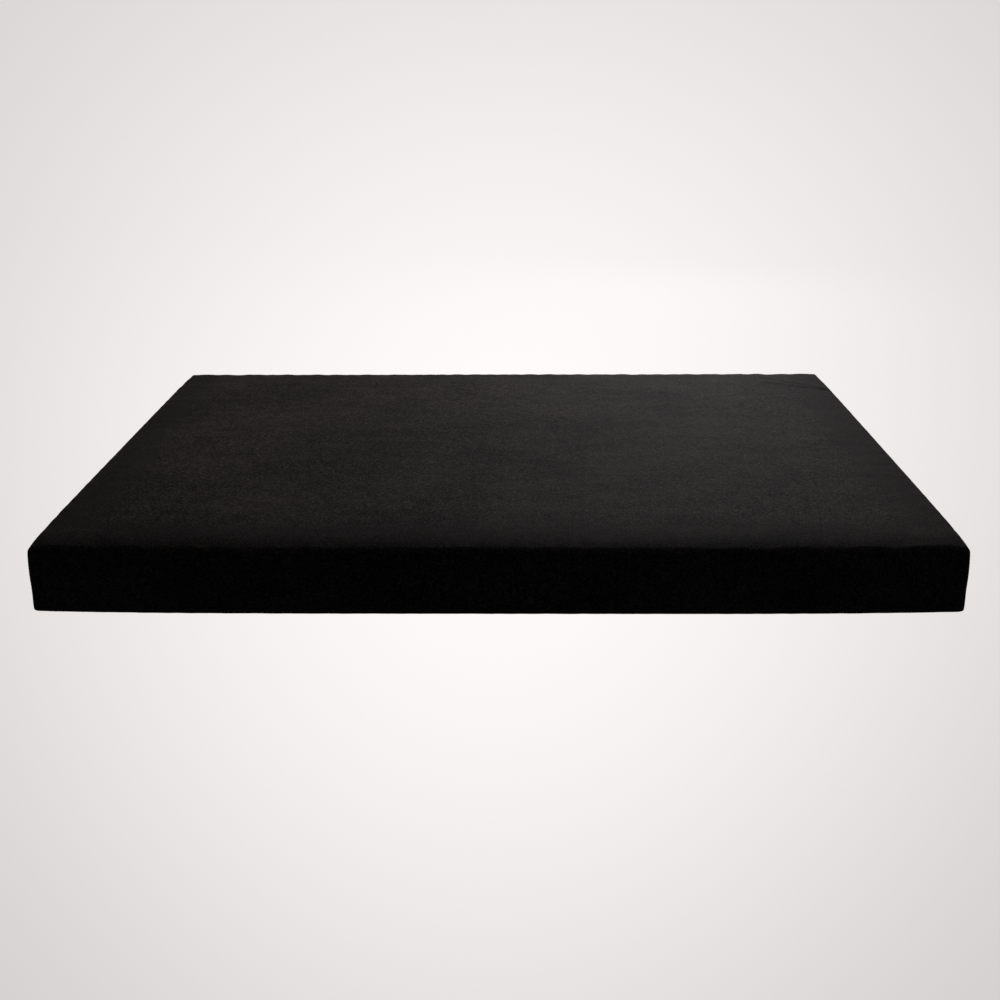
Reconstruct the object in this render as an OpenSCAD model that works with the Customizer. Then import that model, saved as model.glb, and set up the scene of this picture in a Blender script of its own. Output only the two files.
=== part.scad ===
// Foam futon mattress in a removable boxed cover, folding along its length.
// Millimetres. Origin on the ground under the middle: +X along the fold, +Y to the back, +Z up.
// Every layer that crosses the fold is modelled as a seat part in front and a back part behind it.

/* [Mattress] */
// Length along the fold
mattress_length = 1905; // [1500:5:2100]
// Depth from the front face to the back face, lying flat
mattress_depth = 1372; // [1000:2:1700]
// Height from the underside to the sleeping surface
mattress_height = 146; // [120:1:220]
// Radius of the upright corners
corner_radius = 30; // [20:1:60]
// Radius of the soft edge that each seam runs along
edge_radius = 12; // [8:0.5:15]

/* [Cover] */
// Thickness of the cover fabric
fabric_thickness = 1.4; // [0.8:0.1:2]
// Width of the blank care label
label_width = 40; // [20:1:70]
// How far the care label hangs below the zip
label_drop = 36; // [15:1:45]
// Thickness of the care label
label_thickness = 0.5; // [0.3:0.1:1]
// Distance from the label to the end of the zip
label_inset = 90; // [20:5:300]

/* [Filling] */
// Thickness of the fire barrier sleeve
barrier_thickness = 2; // [1:0.5:3]
// Thickness of each batting layer
batting_thickness = 12; // [12:1:20]
// Thickness of each comfort foam layer
comfort_thickness = 25; // [10:1:30]

/* [Zip] */
// Distance from each end of the zip to the corner beside it
zip_end_margin = 42; // [30:1:300]
// Width of one coil row
coil_width = 3; // [2:0.5:5]
// Thickness of the coil, through the fabric
coil_height = 1.8; // [1.4:0.1:3]
// Gap between the two coil rows, for the slider's web
coil_gap = 1.6; // [1.2:0.1:2.4]
// Width of one zip tape
tape_width = 14; // [10:1:20]
// Thickness of the zip tape
tape_thickness = 0.8; // [0.4:0.1:1.2]
// How far the tapes run on past the coil
tape_tail = 20; // [10:1:25]
// Length of each end stop
stop_length = 4; // [2:0.5:8]
// Room behind the zip, inside the cover
zip_pocket = 5; // [4.5:0.5:12]

/* [Slider] */
// Length of the slider along the zip
slider_length = 14; // [10:0.5:20]
// Wall of the slider's plates and flanges
slider_wall = 1; // [0.6:0.1:1.6]
// Length of the web that joins the slider's two plates
web_length = 5; // [3:0.5:8]
// Radius of the pin that the pull swings on
pin_radius = 0.7; // [0.5:0.1:1]
// Wall of the pull's eye, round the pin
eye_wall = 0.8; // [0.6:0.1:1.2]
// Width of the pull's eye and neck
eye_width = 5; // [3:0.5:6]
// Thickness of each lug that holds the pin
lug_thickness = 1.2; // [0.8:0.1:1.6]
// Length of the pull from the pin to its tip
pull_length = 28; // [18:1:45]
// Width of the pull's grip
pull_width = 8; // [7:0.5:10]
// Thickness of the pull
pull_thickness = 1.4; // [1:0.1:2]
// Radius of the hole near the pull's tip
pull_hole_radius = 1.6; // [1:0.1:2]

/* [Clearances] */
// Gap between the seat part and the back part at the fold
fold_gap = 0.6; // [0.4:0.1:2]
// Gap between the slider and the coil and tapes
slider_clearance = 0.3; // [0.2:0.1:0.5]
// Gap between the slider and the cover's edges
slot_clearance = 0.4; // [0.3:0.1:2]
// Radial gap between the pin and the pull's eye
pin_clearance = 0.1; // [0.05:0.01:0.2]
// Gap between each lug and the pull's eye
lug_clearance = 0.2; // [0.1:0.1:0.5]

/* [Hidden] */
$fn = 64;

suede = "#211f1e";
zip_black = "#2c2b2a";
slider_metal = "#3a3a3c";
label_white = "#e6e3dc";
barrier_cream = "#d9d2bf";
batting_white = "#efeee8";
comfort_yellow = "#ead9a0";
core_grey = "#b9bcc0";

// Distance from the fold to the outside of the cover, and from the fold to the outside
// that the filling of the back part is drawn to, which leaves the zip its pocket
half_depth = mattress_depth / 2;
back_filling_reach = half_depth - zip_pocket;
mid_height = mattress_height / 2;
corner_axis_x = mattress_length / 2 - corner_radius;

// Insets from the outside of the cover to the outside of each layer
barrier_inset = fabric_thickness;
filling_inset = barrier_inset + barrier_thickness;
comfort_inset = filling_inset + batting_thickness;
core_inset = comfort_inset + comfort_thickness;

// The zip lies half way up the back, its tapes sewn to the inside of the cover
zip_plane_y = half_depth - fabric_thickness - tape_thickness / 2;
zip_half_length = corner_axis_x - zip_end_margin;
coil_reach = coil_gap / 2 + coil_width;
slider_reach = coil_reach + slider_clearance + slider_wall;
slot_height = 2 * (slider_reach + slot_clearance);
slot_half_length = zip_half_length + stop_length + slot_clearance;

// The slider's closed place, and its plates and pin measured out from the zip plane
slider_x = zip_half_length - slider_clearance - slider_length / 2;
plate_y = coil_height / 2 + slider_clearance;
plate_top_y = plate_y + slider_wall;
eye_radius = pin_radius + pin_clearance + eye_wall;
pin_y = plate_top_y + slider_clearance + eye_radius;
lug_z = eye_width / 2 + lug_clearance;

// ---- Ways to place and repeat ----

module both_ends() {
    children();
    mirror([1, 0, 0]) children();
}

module as_back() mirror([0, 1, 0]) children();

module upside_down() translate([0, 0, mattress_height]) mirror([0, 0, 1]) children();

module at_zip() translate([0, zip_plane_y, mid_height]) children();

module at_slider() at_zip() translate([slider_x, 0, 0]) children();

// ---- Sweeps of an edge profile round the front part ----
// In a profile, x runs outwards from the corner's upright axis and y runs up.

module side_run(reach) {
    translate([corner_axis_x, -fold_gap / 2, 0])
        rotate([90, 0, 0])
            linear_extrude(reach - corner_radius - fold_gap / 2) children();
}

module corner_turn(reach) {
    translate([corner_axis_x, corner_radius - reach, 0])
        rotate([0, 0, -90])
            rotate_extrude(angle = 90) children();
}

module face_run(reach) {
    translate([corner_axis_x, corner_radius - reach, 0])
        rotate([0, 0, -90])
            rotate([90, 0, 0])
                linear_extrude(2 * corner_axis_x) children();
}

module edge_sweep(reach) {
    both_ends() {
        side_run(reach) children();
        corner_turn(reach) children();
    }
    face_run(reach) children();
}

// The flat middle of a layer, inside the corner axes
module middle(reach, low, high) {
    translate([-corner_axis_x, corner_radius - reach, low])
        cube([2 * corner_axis_x, reach - corner_radius - fold_gap / 2, high - low]);
}

// ---- Edge profiles ----

// A slab's edge with both its arrises rounded, at an inset from the outside of the cover
module slab_edge(inset) {
    radius = edge_radius - inset;
    face = corner_radius - inset;
    translate([0, inset]) square([face - radius, mattress_height - 2 * inset]);
    translate([0, edge_radius]) square([face, mattress_height - 2 * edge_radius]);
    for (height = [edge_radius, mattress_height - edge_radius])
        translate([face - radius, height]) circle(radius);
}

module shell_edge(inset, thickness) {
    difference() {
        slab_edge(inset);
        slab_edge(inset + thickness);
    }
}

// The seams run along the middle of each rounded edge, and part the panels from the boxing
module panel_edge() {
    arc_x = corner_radius - edge_radius;
    arc_z = mattress_height - edge_radius;
    beyond = 2 * edge_radius;
    intersection() {
        shell_edge(0, fabric_thickness);
        polygon([[0, arc_z], [arc_x, arc_z], [arc_x + beyond, arc_z + beyond], [0, arc_z + beyond]]);
    }
}

module boxing_edge() {
    arc_x = corner_radius - edge_radius;
    top_z = mattress_height - edge_radius;
    beyond = 2 * edge_radius;
    intersection() {
        shell_edge(0, fabric_thickness);
        polygon([
            [arc_x, edge_radius], [arc_x + beyond, edge_radius - beyond],
            [arc_x + beyond, top_z + beyond], [arc_x, top_z]
        ]);
    }
}

// ---- Cover ----

module top_panel() {
    middle(half_depth, mattress_height - fabric_thickness, mattress_height);
    edge_sweep(half_depth) panel_edge();
}

module side_boxing() {
    side_run(half_depth) boxing_edge();
    corner_turn(half_depth) boxing_edge();
}

module cover_top_seat() color(suede) top_panel();
module cover_top_back() color(suede) as_back() top_panel();
module cover_bottom_seat() color(suede) upside_down() top_panel();
module cover_bottom_back() color(suede) upside_down() as_back() top_panel();
module boxing_front() color(suede) face_run(half_depth) boxing_edge();
module boxing_right_seat() color(suede) side_boxing();
module boxing_right_back() color(suede) as_back() side_boxing();
module boxing_left_seat() color(suede) mirror([1, 0, 0]) side_boxing();
module boxing_left_back() color(suede) mirror([1, 0, 0]) as_back() side_boxing();

// The strip above the zip, cut away where the coil shows
module zip_strip() {
    difference() {
        as_back() face_run(half_depth) intersection() {
            boxing_edge();
            translate([0, mid_height]) square([corner_radius, mid_height]);
        }
        translate([0, half_depth, mid_height])
            cube([2 * slot_half_length, 4 * fabric_thickness, slot_height], center = true);
    }
}

module boxing_back_upper() color(suede) zip_strip();
module boxing_back_lower() color(suede) upside_down() zip_strip();

// Sewn in along the zip, it hangs flat against the lower strip
module care_label() {
    label_x = label_inset - zip_half_length;
    color(label_white)
        translate([label_x, half_depth, mid_height - slot_height / 2 - label_drop])
            cube([label_width, label_thickness, label_drop]);
}

// ---- Zip ----

module zip_tape() {
    at_zip() translate([-zip_half_length - tape_tail, -tape_thickness / 2, coil_reach])
        cube([2 * (zip_half_length + tape_tail), tape_thickness, tape_width]);
}

module zip_coil() {
    at_zip() translate([-zip_half_length, -coil_height / 2, coil_gap / 2])
        cube([2 * zip_half_length, coil_height, coil_width]);
}

module zip_stop() {
    at_zip() translate([zip_half_length, -coil_height / 2, -coil_reach])
        cube([stop_length, coil_height, 2 * coil_reach]);
}

module zip_tape_upper() color(zip_black) zip_tape();
module zip_tape_lower() color(zip_black) upside_down() zip_tape();
module zip_coil_upper() color(zip_black) zip_coil();
module zip_coil_lower() color(zip_black) upside_down() zip_coil();
module zip_stop_right() color(slider_metal) zip_stop();
module zip_stop_left() color(slider_metal) mirror([1, 0, 0]) zip_stop();

// One plate of the slider, with the two flanges that reach over the coil's edges to the tape
module slider_plate() {
    flange_reach = plate_y - tape_thickness / 2 - slider_clearance;
    translate([-slider_length / 2, plate_y, -slider_reach])
        cube([slider_length, slider_wall, 2 * slider_reach]);
    for (z = [-slider_reach, slider_reach - slider_wall])
        translate([-slider_length / 2, plate_y - flange_reach, z])
            cube([slider_length, flange_reach, slider_wall]);
}

module slider_lug() {
    translate([-eye_radius, plate_top_y, lug_z])
        cube([2 * eye_radius, pin_y - plate_top_y, lug_thickness]);
    translate([0, pin_y, lug_z]) cylinder(h = lug_thickness, r = eye_radius);
}

module zip_slider() {
    web_thickness = coil_gap - 2 * slider_clearance;
    lug_span = 2 * (lug_z + lug_thickness);
    color(slider_metal) at_slider() {
        slider_plate();
        mirror([0, 1, 0]) slider_plate();
        translate([slider_length / 2 - web_length, -plate_y, -web_thickness / 2])
            cube([web_length, 2 * plate_y, web_thickness]);
        slider_lug();
        mirror([0, 0, 1]) slider_lug();
        translate([0, pin_y, 0]) cylinder(h = lug_span, r = pin_radius, center = true);
    }
}

// Outline of the pull, lying back along the zip from the pin
module pull_outline() {
    grip_x = 2 * eye_radius + slider_clearance;
    tip_x = pull_length - pull_width / 2;
    translate([-grip_x, -eye_width / 2]) square([grip_x, eye_width]);
    translate([-tip_x, -pull_width / 2]) square([tip_x - grip_x, pull_width]);
    translate([-tip_x, 0]) circle(pull_width / 2);
}

module zip_pull() {
    color(slider_metal) at_slider() translate([0, pin_y, 0]) difference() {
        union() {
            translate([0, pull_thickness / 2, 0]) rotate([90, 0, 0])
                linear_extrude(pull_thickness) pull_outline();
            cylinder(h = eye_width, r = eye_radius, center = true);
        }
        cylinder(h = 2 * eye_width, r = pin_radius + pin_clearance, center = true);
        translate([pull_width / 2 - pull_length, 0, 0]) rotate([90, 0, 0])
            cylinder(h = 2 * pull_thickness, r = pull_hole_radius, center = true);
    }
}

// ---- Filling ----

// The sleeve is a closed skin round the filling, open only where it crosses the fold
module barrier_sleeve(reach) {
    middle(reach, barrier_inset, filling_inset);
    middle(reach, mattress_height - filling_inset, mattress_height - barrier_inset);
    edge_sweep(reach) shell_edge(barrier_inset, barrier_thickness);
}

// A layer of the filling between two heights, with the edges of the whole filling rounded
module filling_layer(reach, low, high) {
    middle(reach, low, high);
    edge_sweep(reach) intersection() {
        slab_edge(filling_inset);
        translate([0, low]) square([corner_radius, high - low]);
    }
}

module batting(reach) filling_layer(reach, filling_inset, comfort_inset);
module comfort_foam(reach) filling_layer(reach, comfort_inset, core_inset);
module core_foam(reach) filling_layer(reach, core_inset, mattress_height - core_inset);

module barrier_sleeve_seat() color(barrier_cream) barrier_sleeve(half_depth);
module barrier_sleeve_back() color(barrier_cream) as_back() barrier_sleeve(back_filling_reach);
module batting_bottom_seat() color(batting_white) batting(half_depth);
module batting_bottom_back() color(batting_white) as_back() batting(back_filling_reach);
module batting_top_seat() color(batting_white) upside_down() batting(half_depth);
module batting_top_back() color(batting_white) upside_down() as_back() batting(back_filling_reach);
module comfort_foam_bottom_seat() color(comfort_yellow) comfort_foam(half_depth);
module comfort_foam_bottom_back() color(comfort_yellow) as_back() comfort_foam(back_filling_reach);
module comfort_foam_top_seat() color(comfort_yellow) upside_down() comfort_foam(half_depth);
module comfort_foam_top_back() {
    color(comfort_yellow) upside_down() as_back() comfort_foam(back_filling_reach);
}
module core_foam_seat() color(core_grey) core_foam(half_depth);
module core_foam_back() color(core_grey) as_back() core_foam(back_filling_reach);

cover_top_seat();
cover_top_back();
cover_bottom_seat();
cover_bottom_back();
boxing_front();
boxing_left_seat();
boxing_left_back();
boxing_right_seat();
boxing_right_back();
boxing_back_upper();
boxing_back_lower();
care_label();
zip_tape_upper();
zip_tape_lower();
zip_coil_upper();
zip_coil_lower();
zip_stop_left();
zip_stop_right();
zip_slider();
zip_pull();
barrier_sleeve_seat();
barrier_sleeve_back();
batting_top_seat();
batting_top_back();
batting_bottom_seat();
batting_bottom_back();
comfort_foam_top_seat();
comfort_foam_top_back();
comfort_foam_bottom_seat();
comfort_foam_bottom_back();
core_foam_seat();
core_foam_back();
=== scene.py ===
import math
import bmesh
import bpy
from mathutils import Matrix, Vector, noise


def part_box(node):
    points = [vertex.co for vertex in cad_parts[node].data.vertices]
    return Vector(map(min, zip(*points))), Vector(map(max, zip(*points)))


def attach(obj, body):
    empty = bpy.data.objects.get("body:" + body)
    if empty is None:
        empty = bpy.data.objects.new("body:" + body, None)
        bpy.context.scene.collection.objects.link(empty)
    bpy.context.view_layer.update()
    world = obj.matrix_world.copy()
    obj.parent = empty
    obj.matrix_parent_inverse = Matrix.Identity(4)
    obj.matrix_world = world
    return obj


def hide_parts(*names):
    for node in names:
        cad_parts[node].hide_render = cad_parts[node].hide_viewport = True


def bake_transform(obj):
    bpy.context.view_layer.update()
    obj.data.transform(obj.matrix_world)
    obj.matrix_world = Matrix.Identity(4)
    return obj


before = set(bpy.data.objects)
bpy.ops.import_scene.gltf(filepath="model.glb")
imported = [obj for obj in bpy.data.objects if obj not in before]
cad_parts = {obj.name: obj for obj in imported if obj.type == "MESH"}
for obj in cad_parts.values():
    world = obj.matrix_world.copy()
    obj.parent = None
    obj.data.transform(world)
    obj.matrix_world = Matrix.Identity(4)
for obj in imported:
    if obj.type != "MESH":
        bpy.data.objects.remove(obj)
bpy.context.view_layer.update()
scene = bpy.context.scene
scene.view_settings.view_transform = "Standard"

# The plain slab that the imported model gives, at the outside of the cover
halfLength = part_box("boxing_right_seat")[1].x
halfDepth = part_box("boxing_back_upper")[1].y
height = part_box("cover_top_seat")[1].z
midHeight = height / 2
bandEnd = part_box("boxing_front")[1].x  # where the front and back bands meet the side bands
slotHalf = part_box("zip_slider")[1].z - midHeight + 0.0004
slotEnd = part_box("zip_stop_right")[1].x + 0.0004


# Camera, light and stage

cameraView = {
    "place": (0.0390, -2.990, 1.102),
    "pitch": 20.43,
    "yaw": -0.78,
    "roll": -0.28,
    "lens": 44.64,
}

lights = {
    "rearStrip": {"place": (0.95, 3.0, 1.35), "aim": (0.42, 0.35, 0.1), "size": (0.7, 0.7), "power": 38},
    "overhead": {"place": (0.80, 0.9, 2.5), "aim": (0.45, 0.2, 0), "size": (1.2, 1.2), "power": 7},
}

studio = {
    "world": (0.075, 0.072, 0.070),
    "floorRadius": 5.0,
    "wallRadius": 3.0,
    "wallHeight": 9.0,
    # the glowing floor's painted pool of light, from its bright middle to its darker rim
    "middle": (1.025, 0.995, 0.985),
    "rim": (0.659, 0.634, 0.624),
    "shadow": 0.03,
}


def smooth(value):
    t = min(1.0, max(0.0, value))
    return t * t * (3 - 2 * t)


class Link:
    # a socket with arithmetic: each operator adds a Math node
    def __init__(self, finish, socket):
        self.finish = finish
        self.socket = socket

    def maths(self, operation, first, second=0.0):
        return self.finish.node("ShaderNodeMath", {"operation": operation}, {0: first, 1: second})

    def __add__(self, other):
        return self.maths("ADD", self, other)

    def __radd__(self, other):
        return self.maths("ADD", other, self)

    def __sub__(self, other):
        return self.maths("SUBTRACT", self, other)

    def __rsub__(self, other):
        return self.maths("SUBTRACT", other, self)

    def __mul__(self, other):
        return self.maths("MULTIPLY", self, other)

    def __rmul__(self, other):
        return self.maths("MULTIPLY", other, self)

    def __truediv__(self, other):
        return self.maths("DIVIDE", self, other)

    def atLeast(self, least):
        return self.maths("MAXIMUM", self, least)

    def atMost(self, most):
        return self.maths("MINIMUM", self, most)

    def size(self):
        return self.maths("ABSOLUTE", self)

    def root(self):
        return self.maths("SQRT", self)


class Finish:
    # one material, built from nodes
    def __init__(self, name):
        self.material = bpy.data.materials.new(name)
        self.material.use_nodes = True
        self.tree = self.material.node_tree
        self.tree.nodes.clear()
        self.output = self.tree.nodes.new("ShaderNodeOutputMaterial")

    def node(self, kind, settings=None, inputs=None, output=0):
        made = self.tree.nodes.new(kind)
        for key, value in (settings or {}).items():
            setattr(made, key, value)
        for key, value in (inputs or {}).items():
            if isinstance(value, Link):
                self.tree.links.new(value.socket, made.inputs[key])
            else:
                made.inputs[key].default_value = value
        return Link(self, made.outputs[output])

    def place(self, scale=(1, 1, 1), turn=(0, 0, 0)):
        where = self.node("ShaderNodeTexCoord", output="Object")
        return self.node("ShaderNodeMapping", {}, {"Vector": where, "Scale": scale, "Rotation": turn})

    def noise(self, where, scale, detail=2.0, roughness=0.5, distortion=0.0):
        return self.node("ShaderNodeTexNoise", {}, {
            "Vector": where, "Scale": scale, "Detail": detail, "Roughness": roughness,
            "Distortion": distortion})

    def cells(self, where, scale):
        return self.node("ShaderNodeTexVoronoi", {"feature": "SMOOTH_F1"}, {
            "Vector": where, "Scale": scale})

    def wave(self, where, scale, direction="X", distortion=0.0):
        return self.node("ShaderNodeTexWave", {"bands_direction": direction}, {
            "Vector": where, "Scale": scale, "Distortion": distortion}, output="Fac")

    def mix(self, amount, first, second):
        # sockets 0, 6 and 7 are the colour mix's factor and its two colours
        return self.node("ShaderNodeMix", {"data_type": "RGBA"}, {
            0: amount, 6: first, 7: second}, output=2)

    def span(self, value, low, high, newLow=0.0, newHigh=1.0):
        return self.node("ShaderNodeMapRange", {"clamp": True, "interpolation_type": "SMOOTHSTEP"}, {
            "Value": value, "From Min": low, "From Max": high, "To Min": newLow, "To Max": newHigh})

    def bump(self, height, distance, strength=1.0):
        return self.node("ShaderNodeBump", {}, {
            "Height": height, "Distance": distance, "Strength": strength})

    def surface(self, shader):
        self.tree.links.new(shader.socket, self.output.inputs["Surface"])
        return self.material

    def shade(self, values):
        return self.surface(self.node("ShaderNodeBsdfPrincipled", {}, values))


def makeCamera():
    data = bpy.data.cameras.new("studioCamera")
    data.lens = cameraView["lens"]
    data.sensor_width = 36
    data.clip_end = 60
    camera = bpy.data.objects.new("studioCamera", data)
    turn = (Matrix.Rotation(math.radians(-cameraView["yaw"]), 4, "Z")
            @ Matrix.Rotation(math.radians(90 - cameraView["pitch"]), 4, "X")
            @ Matrix.Rotation(math.radians(cameraView["roll"]), 4, "Z"))
    camera.matrix_world = Matrix.Translation(cameraView["place"]) @ turn
    scene.collection.objects.link(camera)
    scene.camera = camera


def makeLights():
    for name, look in lights.items():
        data = bpy.data.lights.new(name, "AREA")
        data.shape = "RECTANGLE"
        data.size, data.size_y = look["size"]
        data.energy = look["power"]
        lamp = bpy.data.objects.new(name, data)
        toward = Vector(look["aim"]) - Vector(look["place"])
        lamp.matrix_world = (Matrix.Translation(look["place"])
                             @ toward.to_track_quat("-Z", "Y").to_matrix().to_4x4())
        lamp.visible_camera = False
        scene.collection.objects.link(lamp)
    world = bpy.data.worlds.new("studio")
    world.use_nodes = True
    world.node_tree.nodes["Background"].inputs["Color"].default_value = (*studio["world"], 1)
    scene.world = world


def makeStage():
    # a round floor that curves up into a wall; it glows with a painted pool of light that is brightest in
    # the middle, widens towards the back and fades darker towards the rim and up the wall
    finish = Finish("stagePaper")
    x, y, z = (finish.node("ShaderNodeSeparateXYZ", {}, {0: finish.place()}, output=i) for i in range(3))
    across = x / (y * 0.364 + 1.12).atLeast(0.3)
    along = y / (y + 3.4).atLeast(0.6) + z * 0.26
    apart = (across * across + along * along).root()
    # painted light: the emission colour runs from the bright middle to the darker rim
    color = finish.mix(finish.span(apart, 0, 2), (*studio["middle"], 1), (*studio["rim"], 1))
    glow = finish.node("ShaderNodeEmission", {}, {"Color": color})
    matte = finish.node("ShaderNodeBsdfDiffuse", {}, {"Color": color})
    finish.surface(finish.node("ShaderNodeMixShader", {}, {0: studio["shadow"], 1: glow, 2: matte}))
    bm = bmesh.new()
    floorZ = -0.0006
    middle = bm.verts.new((0, 0, floorZ))
    edge = bm.verts.new((studio["floorRadius"], 0, floorZ))
    bm.edges.new((middle, edge))
    pivot = Vector((studio["floorRadius"], 0, floorZ + studio["wallRadius"]))
    curve = bmesh.ops.spin(bm, geom=[edge], cent=pivot, axis=(0, -1, 0), angle=math.pi / 2, steps=16)
    tip = [v for v in curve["geom_last"] if isinstance(v, bmesh.types.BMVert)]
    bmesh.ops.extrude_vert_indiv(bm, verts=tip)["verts"][0].co.z = studio["wallHeight"]
    bmesh.ops.spin(bm, geom=bm.verts[:] + bm.edges[:], cent=(0, 0, 0), axis=(0, 0, 1),
                   angle=math.tau, steps=64, use_merge=True)
    bmesh.ops.remove_doubles(bm, verts=bm.verts, dist=1e-5)
    bmesh.ops.recalc_face_normals(bm, faces=bm.faces)
    sweep = asPiece("studioSweep", bm, finish.material)
    sweep.visible_diffuse = False
    sweep.visible_glossy = False
    sweep.visible_shadow = False


def asPiece(name, bm, material):
    mesh = bpy.data.meshes.new(name)
    bm.to_mesh(mesh)
    bm.free()
    piece = bpy.data.objects.new(name, mesh)
    scene.collection.objects.link(piece)
    mesh.materials.append(material)
    mesh.polygons.foreach_set("use_smooth", [True] * len(mesh.polygons))
    return piece


def modify(piece, kind, settings):
    added = piece.modifiers.new(kind.lower(), kind)
    for key, value in settings.items():
        setattr(added, key, value)
    return added


def bake(piece):
    # gives the piece its modifiers' result as a plain mesh
    bpy.context.view_layer.update()
    final = bpy.data.meshes.new_from_object(piece.evaluated_get(bpy.context.evaluated_depsgraph_get()))
    piece.modifiers.clear()
    piece.data = final


# Materials

suedeLook = {
    "low": (0.0012, 0.0008, 0.0007, 1),
    "high": (0.0960, 0.0815, 0.0790, 1),
    "cool": (0.0110, 0.0125, 0.0130, 1),
    "napScale": 235,
    "fibreScale": 1000,
    "tuftScale": 42,
    "patchScale": 3.2,
    "edgeShadeWidth": 0.19,  # how far in from the sides and front the suede is painted darker; this painted shade also darkens the side and front bands
    "edgeShadeTone": 0.36,  # how much of its tone the painted shade leaves there
    "sheen": 0.07,
}


def microSuede():
    finish = Finish("microSuede")
    where = finish.place()
    nap = finish.noise(where, suedeLook["napScale"], 3, 0.62)
    tuft = finish.noise(where, suedeLook["tuftScale"], 3, 0.6)
    patches = finish.noise(where, suedeLook["patchScale"], 3, 0.55, 0.4)
    brushed = finish.noise(finish.place((1.0, 4.0, 4.0), (0, 0, 0.5)), 5.5, 2, 0.5)
    x, y = (finish.node("ShaderNodeSeparateXYZ", {}, {0: where}, output=i) for i in range(2))
    # painted shade: the tone falls towards the left and right sides and the front, so the top's edges and
    # the side and front bands come out darker
    fromEdge = (halfLength - x.size()).atMost(y + halfDepth)
    inside = finish.span(fromEdge, 0.0, suedeLook["edgeShadeWidth"], suedeLook["edgeShadeTone"], 1.0)
    tone = (finish.span(nap, 0.45, 0.62, 0.0, 0.74) + finish.span(tuft, 0.35, 0.65, -0.03, 0.14)
            + finish.span(patches, 0.34, 0.66, -0.09, 0.12) + finish.span(brushed, 0.35, 0.65, -0.05, 0.07))
    fibres = finish.noise(where, suedeLook["fibreScale"], 3, 0.7, 1.0)
    tone = tone * inside * finish.span(fibres, 0.3, 0.7, 0.5, 1.45)
    color = finish.mix(tone, suedeLook["low"], suedeLook["high"])
    tint = finish.noise(where, 60, 2, 0.5)
    color = finish.mix(finish.span(tint, 0.45, 0.62, 0.0, 0.28), color, suedeLook["cool"])
    fibre = finish.bump(nap * 0.6 + tuft * 0.5, 0.0011, 0.55)
    return finish.shade({
        "Base Color": color, "Roughness": 0.86, "Specular IOR Level": 0.06, "Normal": fibre,
        "Sheen Weight": suedeLook["sheen"], "Sheen Roughness": 0.42, "Sheen Tint": (1.0, 0.86, 0.83, 1)})


def wovenTape():
    finish = Finish("zipTapeWeave")
    chevrons = finish.wave(finish.place((1, 1, 1), (0, 0.7, 0)), 420, "X")
    rows = finish.wave(finish.place(), 160, "Z")
    weave = chevrons * 0.6 + rows * 0.4
    color = finish.mix(weave, (0.004, 0.004, 0.004, 1), (0.028, 0.027, 0.027, 1))
    return finish.shade({"Base Color": color, "Roughness": 0.75, "Specular IOR Level": 0.3,
                         "Normal": finish.bump(weave, 0.0002)})


def nylon():
    finish = Finish("zipCoilNylon")
    rub = finish.noise(finish.place(), 900, 2, 0.6)
    color = finish.mix(rub, (0.008, 0.008, 0.009, 1), (0.030, 0.030, 0.032, 1))
    return finish.shade({"Base Color": color, "Roughness": finish.span(rub, 0.3, 0.7, 0.34, 0.5),
                         "Normal": finish.bump(rub, 0.00005)})


def enamel():
    finish = Finish("zipEnamel")
    where = finish.place()
    rub = finish.noise(where, 260, 4, 0.65)
    worn = finish.span(rub, 0.62, 0.72, 0.0, 0.5)
    color = finish.mix(worn, (0.018, 0.018, 0.020, 1), (0.21, 0.20, 0.19, 1))
    return finish.shade({"Base Color": color, "Roughness": finish.span(rub, 0.3, 0.7, 0.28, 0.46),
                         "Metallic": 0.55, "Coat Weight": 0.25, "Coat Roughness": 0.25,
                         "Normal": finish.bump(finish.noise(where, 700, 3), 0.00006)})


def satin():
    finish = Finish("labelSatin")
    where = finish.place()
    threads = finish.wave(where, 900, "X") * 0.5 + finish.wave(where, 1500, "Z") * 0.5
    cloudy = finish.noise(where, 45, 2)
    color = finish.mix(threads * 0.7 + cloudy * 0.3, (0.60, 0.57, 0.51, 1), (0.80, 0.78, 0.73, 1))
    return finish.shade({"Base Color": color, "Roughness": 0.5, "Normal": finish.bump(threads, 0.00006),
                         "Sheen Weight": 0.25, "Sheen Roughness": 0.3})


def ribKnit():
    finish = Finish("barrierKnit")
    where = finish.place()
    knit = finish.wave(where, 110, "X", 0.4) * 0.65 + finish.wave(where, 170, "Y", 0.8) * 0.35
    stain = finish.noise(where, 6, 3)
    color = finish.mix(knit * 0.75 + stain * 0.25, (0.50, 0.44, 0.30, 1), (0.74, 0.69, 0.56, 1))
    return finish.shade({"Base Color": color, "Roughness": 0.9, "Normal": finish.bump(knit, 0.0008),
                         "Specular IOR Level": 0.2, "Sheen Weight": 0.3})


def fibreFelt():
    finish = Finish("battingFelt")
    fibres = finish.noise(finish.place((1, 3.5, 3)), 210, 5, 0.7, 1.6)
    clumps = finish.noise(finish.place(), 28, 3, 0.6)
    color = finish.mix(fibres * 0.6 + clumps * 0.4, (0.66, 0.65, 0.60, 1), (0.92, 0.91, 0.88, 1))
    return finish.shade({"Base Color": color, "Roughness": 0.95, "Specular IOR Level": 0.15,
                         "Normal": finish.bump(fibres * 0.5 + clumps * 0.5, 0.0025), "Sheen Weight": 0.4})


def openFoam(name, dark, pale, pores):
    finish = Finish(name)
    where = finish.place()
    cells = finish.cells(where, pores)
    mottled = finish.noise(where, 14, 3, 0.6)
    color = finish.mix(finish.span(cells, 0.1, 0.6) * 0.7 + mottled * 0.3, pale, dark)
    return finish.shade({"Base Color": color, "Roughness": 0.88, "Specular IOR Level": 0.25,
                         "Normal": finish.bump(1 - cells, 0.0009)})


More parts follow.
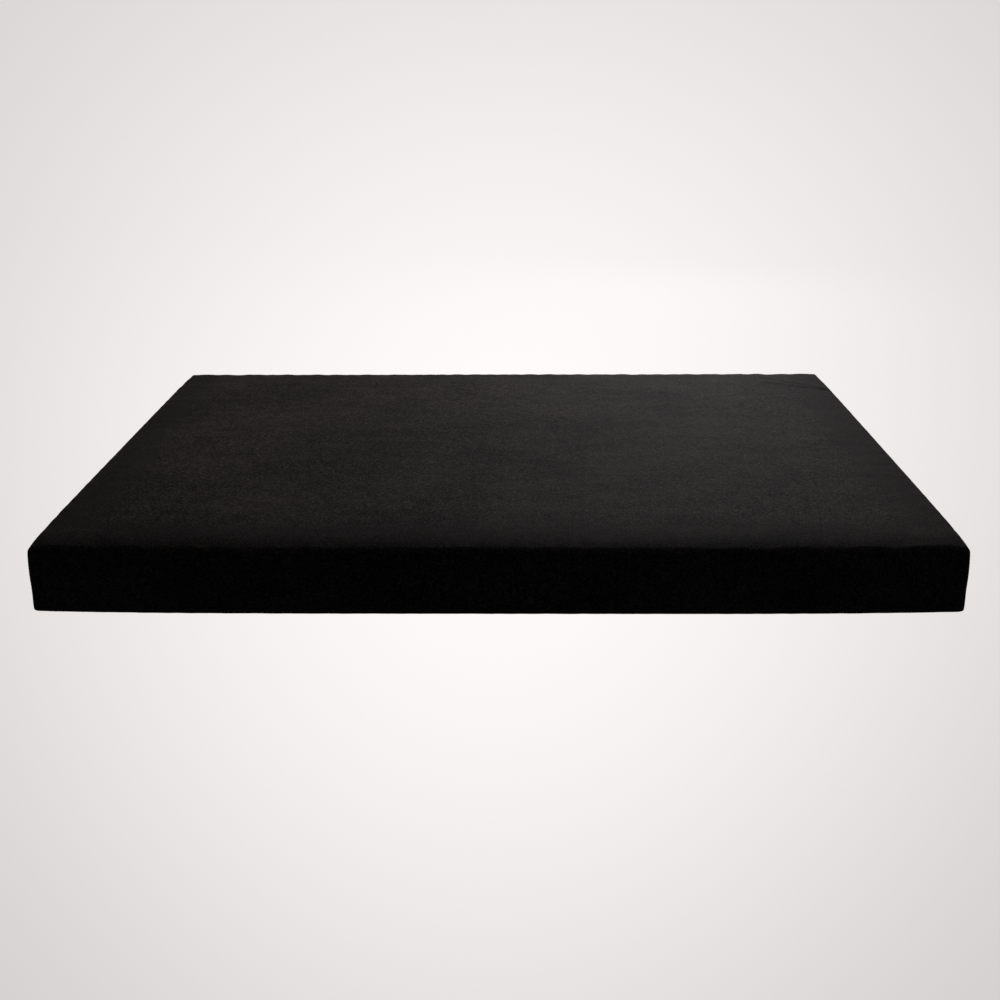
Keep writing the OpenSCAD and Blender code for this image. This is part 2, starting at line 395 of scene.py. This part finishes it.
def twistedThread():
    finish = Finish("suedeThread")
    twist = finish.wave(finish.place((1, 1, 1), (0, 0.6, 0)), 500, "X")
    color = finish.mix(twist, (0.006, 0.0055, 0.0055, 1), (0.045, 0.041, 0.040, 1))
    return finish.shade({"Base Color": color, "Roughness": 0.5, "Normal": finish.bump(twist, 0.0001)})


# The filled mattress's shape

shape = {
    "frontBow": 0.0125,   # how far the front swells at mid length
    "sideBow": 0.0045,    # how far the short sides swell at mid depth
    "bowPower": 4.5,      # how late that swell dies away towards the corners
    "bandSwell": 0.0025,  # extra swell of the bands at half height
    "foot": 0.003,        # how far the lowest part spreads under the weight
    "crown": 0.0010,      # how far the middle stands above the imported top
    "edgeFall": 0.0032,   # how far the top falls towards its edges
    "fallWidth": 0.16,
    "frontFall": 0.0030,  # how much more it falls at the front, where people sit
    "frontWidth": 0.07,
    "wave": 0.0011,
}


def lowWaves(x, y):
    broad = noise.noise(Vector((x * 2.3 + 3.1, y * 3.1, 4.7)))
    close = noise.noise(Vector((x * 5.5, y * 7.0, 1.3)))
    right = 0.35 + 0.65 * smooth((x + 0.45) / 0.9)
    return (broad + 0.5 * close) * right * shape["wave"]


def topHeight(x, y):
    insideX = smooth((halfLength - abs(x)) / shape["fallWidth"])
    insideY = smooth((halfDepth - abs(y)) / shape["fallWidth"])
    inside = insideX * insideY
    front = shape["frontFall"] * smooth(1 - (halfDepth + y) / shape["frontWidth"])
    return height + shape["crown"] - shape["edgeFall"] * (1 - inside) - front + lowWaves(x, y) * inside


def settle(point):
    # where a point of the plain slab goes in the filled mattress
    x, y, z = point
    along, across = min(1, abs(x) / halfLength), min(1, abs(y) / halfDepth)
    rise = math.sin(math.pi * min(1, max(0, z / height)))
    swell = shape["bandSwell"] * rise + shape["foot"] * smooth(1 - z / 0.05)
    frontBow = shape["frontBow"] * (1 - along ** shape["bowPower"]) + swell
    frontBow *= smooth(-y / halfDepth)
    sideBow = shape["sideBow"] * (1 - across ** shape["bowPower"]) + swell
    sideBow *= smooth((halfDepth - y) / 0.12)
    return Vector((x * (1 + sideBow / halfLength), y * (1 + frontBow / halfDepth),
                   z * topHeight(x, y) / height))


def spread(low, high, step):
    count = max(1, round((high - low) / step))
    return [low + (high - low) * i / count for i in range(count + 1)]


def sliceAt(bm, axis, places):
    # cuts every face that a row of planes crosses
    normal = Vector([float(i == axis) for i in range(3)])
    for place in places:
        everything = bm.verts[:] + bm.edges[:] + bm.faces[:]
        bmesh.ops.bisect_plane(bm, geom=everything, dist=1e-6, plane_co=normal * place, plane_no=normal)


def roundedSlab(low, high, corner, cornerSteps, edges, edgeSteps):
    # a box with round upright corners, and round edges of one radius below and one above
    low, high = Vector(low), Vector(high)
    bm = bmesh.new()
    bmesh.ops.create_cube(bm, size=1.0)
    bmesh.ops.scale(bm, vec=high - low, verts=bm.verts)
    bmesh.ops.translate(bm, vec=(high + low) / 2, verts=bm.verts)
    upright = [e for e in bm.edges if abs(e.verts[0].co.z - e.verts[1].co.z) > 1e-5]
    bmesh.ops.bevel(bm, geom=upright, offset=corner, offset_type="OFFSET", segments=cornerSteps,
                    profile=0.5, affect="EDGES", material=-1)
    for level, edge in zip((low.z, high.z), edges):
        rim = [e for e in bm.edges if all(abs(v.co.z - level) < 1e-5 for v in e.verts)]
        bmesh.ops.bevel(bm, geom=rim, offset=edge, offset_type="OFFSET", segments=edgeSteps,
                        profile=0.5, affect="EDGES", material=-1)
    return bm


# Cover

cover = {
    "cornerRadius": 0.013,
    "cornerSteps": 4,
    "edgeRadius": 0.012,
    "lowEdgeRadius": 0.0035,  # the underside's edges are pressed sharper
    "edgeSteps": 4,
    "gridStep": 0.0185,
    "bandStep": 0.0145,
    "fabric": 0.0014,
    "lipNear": 0.0012,  # the turned seam allowance, in two steps
    "lipFar": 0.0050,
    "seamDip": 0.0006,
    "cornerTurn": 2.3,  # rim edges that meet at less than this angle, in radians, make a corner
    "gather": 0.0004,   # depth of the gathers beside the seams
    "gatherReach": 0.016,
}

# Seams run along the middle of each round edge
seamInset = cover["edgeRadius"] * (1 - math.sqrt(0.5))
lowSeamInset = cover["lowEdgeRadius"] * (1 - math.sqrt(0.5))

swelling = {
    "frames": 20,
    "pressure": 4.0,
    "slack": -0.012,  # the cloth is cut this share too large
    "cap": 0.0035,  # the furthest that a point may move outwards, and next inwards
    "inwardCap": 0.0009,
    "quality": 6,
    "stretchStiffness": 15,
    "bendStiffness": 2.5,
    "reported": (0, 0.05, 0.5, 0.95, 1),  # the shares of the points that are printed
}

longCut, deepCut, bandCut = 2 * halfLength + 0.025, 2 * halfDepth + 0.025, height + 0.012
coverPanels = {
    "topPanel": {"nodes": ("cover_top_seat", "cover_top_back"), "flat": (longCut, deepCut)},
    "bottomPanel": {"nodes": ("cover_bottom_seat", "cover_bottom_back"), "flat": (longCut, deepCut)},
    "frontBand": {"nodes": ("boxing_front",), "body": "seat", "flat": (longCut - 0.06, bandCut)},
    "leftBand": {
        "nodes": ("boxing_left_seat", "boxing_left_back"), "flat": (deepCut + 0.03, bandCut)},
    "rightBand": {
        "nodes": ("boxing_right_seat", "boxing_right_back"), "flat": (deepCut + 0.03, bandCut)},
    "backBandUpper": {
        "nodes": ("boxing_back_upper",), "body": "back", "flat": (longCut - 0.06, bandCut / 2)},
    "backBandLower": {
        "nodes": ("boxing_back_lower",), "body": "back", "flat": (longCut - 0.06, bandCut / 2)},
}


def coverSlab():
    edge, lowEdge, corner = cover["edgeRadius"], cover["lowEdgeRadius"], cover["cornerRadius"]
    bm = roundedSlab((-halfLength, -halfDepth, 0), (halfLength, halfDepth, height),
                     corner, cover["cornerSteps"], (lowEdge, edge), cover["edgeSteps"])
    endCuts = ((slotEnd + bandEnd) / 2, bandEnd, halfLength - corner)
    sliceAt(bm, 0, spread(-slotEnd, slotEnd, cover["gridStep"]) + [
        side * place for side in (-1, 1) for place in endCuts])
    sliceAt(bm, 1, spread(corner - halfDepth, halfDepth - corner, cover["gridStep"]))
    sliceAt(bm, 2, spread(lowEdge, midHeight - slotHalf, cover["bandStep"]) + [midHeight]
            + spread(midHeight + slotHalf, height - edge, cover["bandStep"]))
    bm.verts.layers.float_vector.new("plain")
    bm.verts.layers.float_vector.new("inward")
    plain = bm.verts.layers.float_vector["plain"]
    for vertex in bm.verts:
        vertex[plain] = vertex.co
        vertex.co = settle(vertex.co)
    bm.normal_update()
    return bm


def isPinned(place):
    # the seams, the zip's stretch and the underside hold still while the cloth swells
    onSeam = abs(place.z - height + seamInset) < 1e-4
    byZip = place.y > halfDepth - 1e-4 and place.z < height - cover["edgeRadius"] + 1e-4
    return onSeam or byZip or place.z < lowSeamInset + 1e-4


def swell(bm):
    # pressure moves most of the top far past the cap, so it mostly lifts the top evenly by the cap;
    # the shape that shows comes from settle, lowWaves and cornerCrease
    plain = bm.verts.layers.float_vector["plain"]
    mesh = bpy.data.meshes.new("swelling")
    bm.to_mesh(mesh)
    cloth = bpy.data.objects.new("swelling", mesh)
    scene.collection.objects.link(cloth)
    pins = cloth.vertex_groups.new(name="pins")
    pins.add([i for i, v in enumerate(bm.verts) if isPinned(v[plain])], 1.0, "REPLACE")
    added = modify(cloth, "CLOTH", {})
    settings = added.settings
    settings.quality = swelling["quality"]
    settings.tension_stiffness = settings.compression_stiffness = swelling["stretchStiffness"]
    settings.bending_stiffness = swelling["bendStiffness"]
    settings.use_pressure = True
    settings.uniform_pressure_force = swelling["pressure"]
    settings.shrink_min = settings.shrink_max = swelling["slack"]
    settings.vertex_group_mass = "pins"
    settings.effector_weights.gravity = 0
    added.point_cache.frame_end = swelling["frames"]
    for step in range(1, swelling["frames"] + 1):
        scene.frame_set(step)
    result = cloth.evaluated_get(bpy.context.evaluated_depsgraph_get()).data
    outs = []
    for vertex, moved in zip(bm.verts, result.vertices):
        out = (moved.co - vertex.co).dot(vertex.normal)
        outs.append(out)
        held = swelling["cap"] * math.tanh(out / swelling["cap"])
        vertex.co += vertex.normal * max(-swelling["inwardCap"], held)
    outs.sort()
    moved = [outs[int(share * (len(outs) - 1))] * 1000 for share in swelling["reported"]]
    print("cloth moved, before the cap,", [round(out, 2) for out in moved], "mm")
    scene.frame_set(1)
    bpy.data.objects.remove(cloth)
    bm.normal_update()


def panelOf(face, plain):
    # the cut piece of the cover that a face belongs to
    x, y, z = sum((v[plain] for v in face.verts), Vector()) / len(face.verts)
    if z > height - seamInset:
        return "topPanel"
    if z < lowSeamInset:
        return "bottomPanel"
    if abs(x) > bandEnd:
        return "rightBand" if x > 0 else "leftBand"
    if y < 0:
        return "frontBand"
    if abs(x) < slotEnd and abs(z - midHeight) < slotHalf:
        return "zipSlot"
    return "backBandUpper" if z > midHeight else "backBandLower"


creases = {
    "start": 0.205,   # how far from the back edge they meet the right side
    "slopes": (0.80, 0.45),
    "long": 0.34,
    "deep": 0.0021,
    "wide": 0.012,
}


def cornerCrease(x, y):
    # two shallow pulls that fan out from the right side towards the back edge
    fromSide, fromBack = halfLength - x, halfDepth - y
    if fromSide > creases["long"] or fromBack > 0.3:
        return 0
    total = 0
    for slope in creases["slopes"]:
        line = creases["start"] - slope * fromSide
        apart = (fromBack - line) / creases["wide"]
        fade = (smooth(fromSide / 0.03) * smooth((creases["long"] - fromSide) / 0.3)
                * smooth(fromBack / 0.02))
        total += fade * (math.exp(-apart * apart) - 0.7 * math.exp(-(apart - 1.6) ** 2))
    return total * creases["deep"]


def pucker(piece):
    # gathers beside the seams, and the pulls at the rear right corner
    places = piece.data.attributes["plain"].data
    normals = [v.normal.copy() for v in piece.data.vertices]
    for vertex, place, normal in zip(piece.data.vertices, places, normals):
        x, y, z = place.vector
        if y > halfDepth - 0.004 and 0.01 < z < height - 0.01:
            continue  # beside the zip
        toSide = min(halfLength - abs(x), halfDepth - abs(y))
        toSeam = max(toSide, min(z, height - z)) - seamInset
        near = math.exp(-(max(0, toSeam) / cover["gatherReach"]) ** 2)
        along = Vector((x * 34, y * 34, z * 9))
        push = (noise.noise(along) + 0.5 * noise.noise(along * 2.3)) * cover["gather"] * near
        push += cornerCrease(x, y) * smooth((z - height + 0.012) / 0.008)
        vertex.co += normal * push


def makePanel(name, slab, suede):
    bm = slab.copy()
    plain = bm.verts.layers.float_vector["plain"]
    inward = bm.verts.layers.float_vector["inward"]
    bmesh.ops.delete(bm, geom=[f for f in bm.faces if panelOf(f, plain) != name], context="FACES")
    rim = [e for e in bm.edges if e.is_boundary]
    crease = bm.verts.layers.float.new("crease_vert")
    for vertex in {v for e in rim for v in e.verts}:
        beside = [e.other_vert(vertex).co for e in vertex.link_edges if e.is_boundary]
        first, second = [place - vertex.co for place in beside[:2]]
        if first.angle(second) < cover["cornerTurn"]:
            vertex[crease] = 1  # a cut corner keeps its point, so that it meets its neighbours
    for vertex in {v for e in rim for v in e.verts}:
        vertex.co += vertex[inward] * cover["seamDip"]
    for reach in (cover["lipNear"], cover["lipFar"]):
        lip = bmesh.ops.extrude_edge_only(bm, edges=rim)["geom"]
        rim = [e for e in lip if isinstance(e, bmesh.types.BMEdge)]
        for vertex in [v for v in lip if isinstance(v, bmesh.types.BMVert)]:
            vertex.co += vertex[inward] * reach
    piece = asPiece(name, bm, suede)
    modify(piece, "SUBSURF", {"levels": 1, "render_levels": 1})
    bake(piece)
    pucker(piece)
    modify(piece, "SOLIDIFY", {"thickness": cover["fabric"], "offset": -1})
    bake(piece)
    return piece


def makeCover(suede):
    slab = coverSlab()
    swell(slab)
    inward = slab.verts.layers.float_vector["inward"]
    for vertex in slab.verts:
        vertex[inward] = -vertex.normal
    for name, cut in coverPanels.items():
        piece = makePanel(name, slab, suede)
        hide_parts(*cut["nodes"])
        if "body" in cut:
            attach(piece, cut["body"])
        else:
            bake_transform(piece)
    slab.free()


# Filling

filling = {
    "fireSleeve": {"node": "barrier_sleeve", "slot": "barrier_knit", "edge": 0.022, "trim": 0.002},
    "battingTop": {"node": "batting_top", "slot": "batting_felt", "edge": 0.005, "trim": 0.004},
    "battingBottom": {"node": "batting_bottom", "slot": "batting_felt", "edge": 0.005, "trim": 0.004},
    "comfortTop": {"node": "comfort_foam_top", "slot": "comfort_foam", "edge": 0.003, "trim": 0.004},
    "comfortBottom": {"node": "comfort_foam_bottom", "slot": "comfort_foam", "edge": 0.003, "trim": 0.004},
    "foamCore": {"node": "core_foam", "slot": "core_foam", "edge": 0.003, "trim": 0.004},
}
fillingStep = 0.05
fillingCorner = 0.028


def makeFilling(materials):
    for name, layer in filling.items():
        isSleeve = layer["slot"] == "barrier_knit"
        trim = Vector((layer["trim"], layer["trim"], 0.0012 if isSleeve else 0.0004))
        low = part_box(layer["node"] + "_seat")[0] + trim
        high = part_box(layer["node"] + "_back")[1] - trim
        bm = roundedSlab(low, high, fillingCorner, 5, (layer["edge"], layer["edge"]), 3)
        sliceAt(bm, 0, spread(low.x + fillingCorner, high.x - fillingCorner, fillingStep))
        sliceAt(bm, 1, spread(low.y + fillingCorner, high.y - fillingCorner, fillingStep / 3))
        sliceAt(bm, 2, spread(low.z + layer["edge"], high.z - layer["edge"], 0.02)[1:-1])
        for vertex in bm.verts:
            vertex.co = settle(vertex.co)
        bm.normal_update()
        if not isSleeve:
            for vertex in bm.verts:  # cut foam and felt are never quite true
                vertex.co -= vertex.normal * 0.0005 * (1 + noise.noise(vertex.co * 20))
        piece = asPiece(name, bm, materials[layer["slot"]])
        if isSleeve:
            modify(piece, "SOLIDIFY", {"thickness": 0.0016, "offset": -1})
            bake(piece)
        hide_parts(layer["node"] + "_seat", layer["node"] + "_back")
        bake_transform(piece)


# Zip

zipLook = {
    "toothPitch": 0.0021,
    "toothWide": 0.00125,
    "toothReach": 0.0006,  # how near the teeth come to the zip's middle line
    "toothLean": 0.16,
    "tapeEdge": 0.0006,
    "stitchPitch": 0.0036,
    "stitchLong": 0.0025,
    "stitchLine": 0.0045,  # how far the topstitching runs from the slot
    "metalEdge": 0.00025,
}


def repeated(name, bm, count, step, material):
    # a row of copies of one small shape, as a plain mesh
    piece = asPiece(name, bm, material)
    modify(piece, "ARRAY", {"count": count, "use_relative_offset": False, "use_constant_offset": True,
                            "constant_offset_displace": (step, 0, 0)})
    bake(piece)
    return piece


def makeCoil(name, node, side, material):
    # nylon loops, each a bar from the tape that ends in a wider head
    low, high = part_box(node)
    pitch, reach = zipLook["toothPitch"], zipLook["toothReach"]
    far = max(abs(low.z - midHeight), abs(high.z - midHeight))
    tall = far - reach
    bm = bmesh.new()
    bmesh.ops.create_cube(bm, size=1.0)
    bmesh.ops.scale(bm, vec=(zipLook["toothWide"], high.y - low.y, tall), verts=bm.verts)
    sliceAt(bm, 2, [-0.27 * tall, -0.08 * tall])
    for vertex in bm.verts:
        if vertex.co.z < -0.3 * tall:
            vertex.co.x *= 1.25
        elif vertex.co.z < 0:
            vertex.co.x *= 0.8
    bmesh.ops.bevel(bm, geom=[e for e in bm.edges if e.calc_face_angle(0) > 0.8], offset=0.0003,
                    segments=1, profile=0.5, affect="EDGES", material=-1)
    bmesh.ops.rotate(bm, verts=bm.verts, cent=(0, 0, 0),
                     matrix=Matrix.Rotation(zipLook["toothLean"], 3, "Y"))
    if side < 0:
        bmesh.ops.scale(bm, vec=(1, 1, -1), verts=bm.verts)
        bmesh.ops.reverse_faces(bm, faces=bm.faces)
    start = low.x + pitch * (0.75 if side > 0 else 1.25)
    bmesh.ops.translate(bm, vec=(start, (low.y + high.y) / 2, midHeight + side * (far + reach) / 2),
                        verts=bm.verts)
    piece = repeated(name, bm, int((high.x - low.x) / pitch - 1), pitch, material)
    # the tape's dark edge, which the loops are sewn round
    bm = bmesh.new()
    bm.from_mesh(piece.data)
    edge = bmesh.ops.create_cube(bm, size=1.0)["verts"]
    bmesh.ops.scale(bm, vec=(high.x - low.x, zipLook["tapeEdge"], tall), verts=edge)
    middle = ((low.x + high.x) / 2, (low.y + high.y) / 2, midHeight + side * (far + reach) / 2)
    bmesh.ops.translate(bm, vec=middle, verts=edge)
    bm.to_mesh(piece.data)
    bm.free()
    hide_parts(node)
    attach(piece, "back")


def makeTopstitch(material):
    line = slotHalf + zipLook["stitchLine"]
    bm = bmesh.new()
    for z in (midHeight - line, midHeight + line):
        made = bmesh.ops.create_uvsphere(bm, u_segments=8, v_segments=5, radius=0.5)["verts"]
        bmesh.ops.rotate(bm, verts=made, cent=(0, 0, 0), matrix=Matrix.Rotation(math.pi / 2, 3, "Y"))
        bmesh.ops.scale(bm, vec=(zipLook["stitchLong"], 0.0007, 0.0008), verts=made)
        bmesh.ops.translate(bm, vec=(-slotEnd, halfDepth + 0.0001, z), verts=made)
    count = int(2 * slotEnd / zipLook["stitchPitch"])
    piece = repeated("zipTopstitch", bm, count, zipLook["stitchPitch"], material)
    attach(piece, "back")


def makeMetal(name, node, body, material):
    # a merged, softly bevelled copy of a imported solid
    bm = bmesh.new()
    bm.from_mesh(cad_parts[node].data)
    bmesh.ops.remove_doubles(bm, verts=bm.verts, dist=1e-6)
    bmesh.ops.dissolve_limit(bm, angle_limit=0.02, verts=bm.verts, edges=bm.edges)
    sharp = [e for e in bm.edges if len(e.link_faces) == 2 and e.calc_face_angle(0) > 0.6]
    bmesh.ops.bevel(bm, geom=sharp, offset=zipLook["metalEdge"], segments=2, profile=0.5,
                    affect="EDGES", material=-1, clamp_overlap=True)
    bmesh.ops.triangulate(bm, faces=[f for f in bm.faces if len(f.verts) > 4])
    piece = asPiece(name, bm, material)
    piece.data.polygons.foreach_set("use_smooth", [False] * len(piece.data.polygons))
    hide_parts(node)
    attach(piece, body)


labelLook = {
    "curl": 0.0011,
    "edgeCurl": 1.6,
    "ripple": 0.0003,
    "stand": 0.0002,  # how far it hangs off the band
    "thickness": 0.0005,
}


def makeLabel(material):
    # a blank satin label that hangs from the slot's lower edge, a little curled
    low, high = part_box("care_label")
    wide, drop = high.x - low.x, high.z - low.z
    bm = bmesh.new()
    bmesh.ops.create_grid(bm, x_segments=16, y_segments=18, size=0.5)
    bmesh.ops.rotate(bm, verts=bm.verts, cent=(0, 0, 0), matrix=Matrix.Rotation(math.pi / 2, 3, "X"))
    bmesh.ops.reverse_faces(bm, faces=bm.faces)
    for vertex in bm.verts:
        across, down = vertex.co.x, 0.5 - vertex.co.z
        curl = (labelLook["curl"] * down * down * (1 + labelLook["edgeCurl"] * abs(across))
                + labelLook["ripple"] * math.sin(9 * across + 2) * down)
        vertex.co = Vector(((low.x + high.x) / 2 + across * wide,
                            high.y + labelLook["stand"] + curl, high.z - down * drop))
    piece = asPiece("blankLabel", bm, material)
    modify(piece, "SOLIDIFY", {"thickness": labelLook["thickness"], "offset": 0})
    modify(piece, "SUBSURF", {"levels": 1, "render_levels": 1})
    bake(piece)
    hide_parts("care_label")
    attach(piece, "back")


def makeZip(materials):
    makeCoil("coilTeethUpper", "zip_coil_upper", 1, materials["zip_coil_nylon"])
    makeCoil("coilTeethLower", "zip_coil_lower", -1, materials["zip_coil_nylon"])
    for node in ("zip_tape_upper", "zip_tape_lower"):
        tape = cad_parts[node]
        for slot in tape.material_slots:
            slot.material = materials["zip_tape_weave"]
    makeTopstitch(materials["thread"])
    makeMetal("endStopLeft", "zip_stop_left", "back", materials["zip_metal"])
    makeMetal("endStopRight", "zip_stop_right", "back", materials["zip_metal"])
    makeMetal("sliderBody", "zip_slider", "zip_slider_body", materials["zip_metal"])
    makeMetal("pullTab", "zip_pull", "zip_pull_body", materials["zip_metal"])
    makeLabel(materials["label_satin"])


makeCamera()
makeLights()
makeStage()
print("camera, lights and stage are set")
materials = {
    "black_micro_suede": microSuede(),
    "label_satin": satin(),
    "zip_tape_weave": wovenTape(),
    "zip_coil_nylon": nylon(),
    "zip_metal": enamel(),
    "barrier_knit": ribKnit(),
    "batting_felt": fibreFelt(),
    "comfort_foam": openFoam("comfortFoam", (0.52, 0.38, 0.13, 1), (0.84, 0.73, 0.42, 1), 620),
    "core_foam": openFoam("coreFoam", (0.26, 0.28, 0.31, 1), (0.50, 0.52, 0.55, 1), 760),
    "thread": twistedThread(),
}
print("materials are made")
makeCover(materials["black_micro_suede"])
print("cover is sewn")
makeFilling(materials)
print("filling is in")
makeZip(materials)
print("zip is fitted")
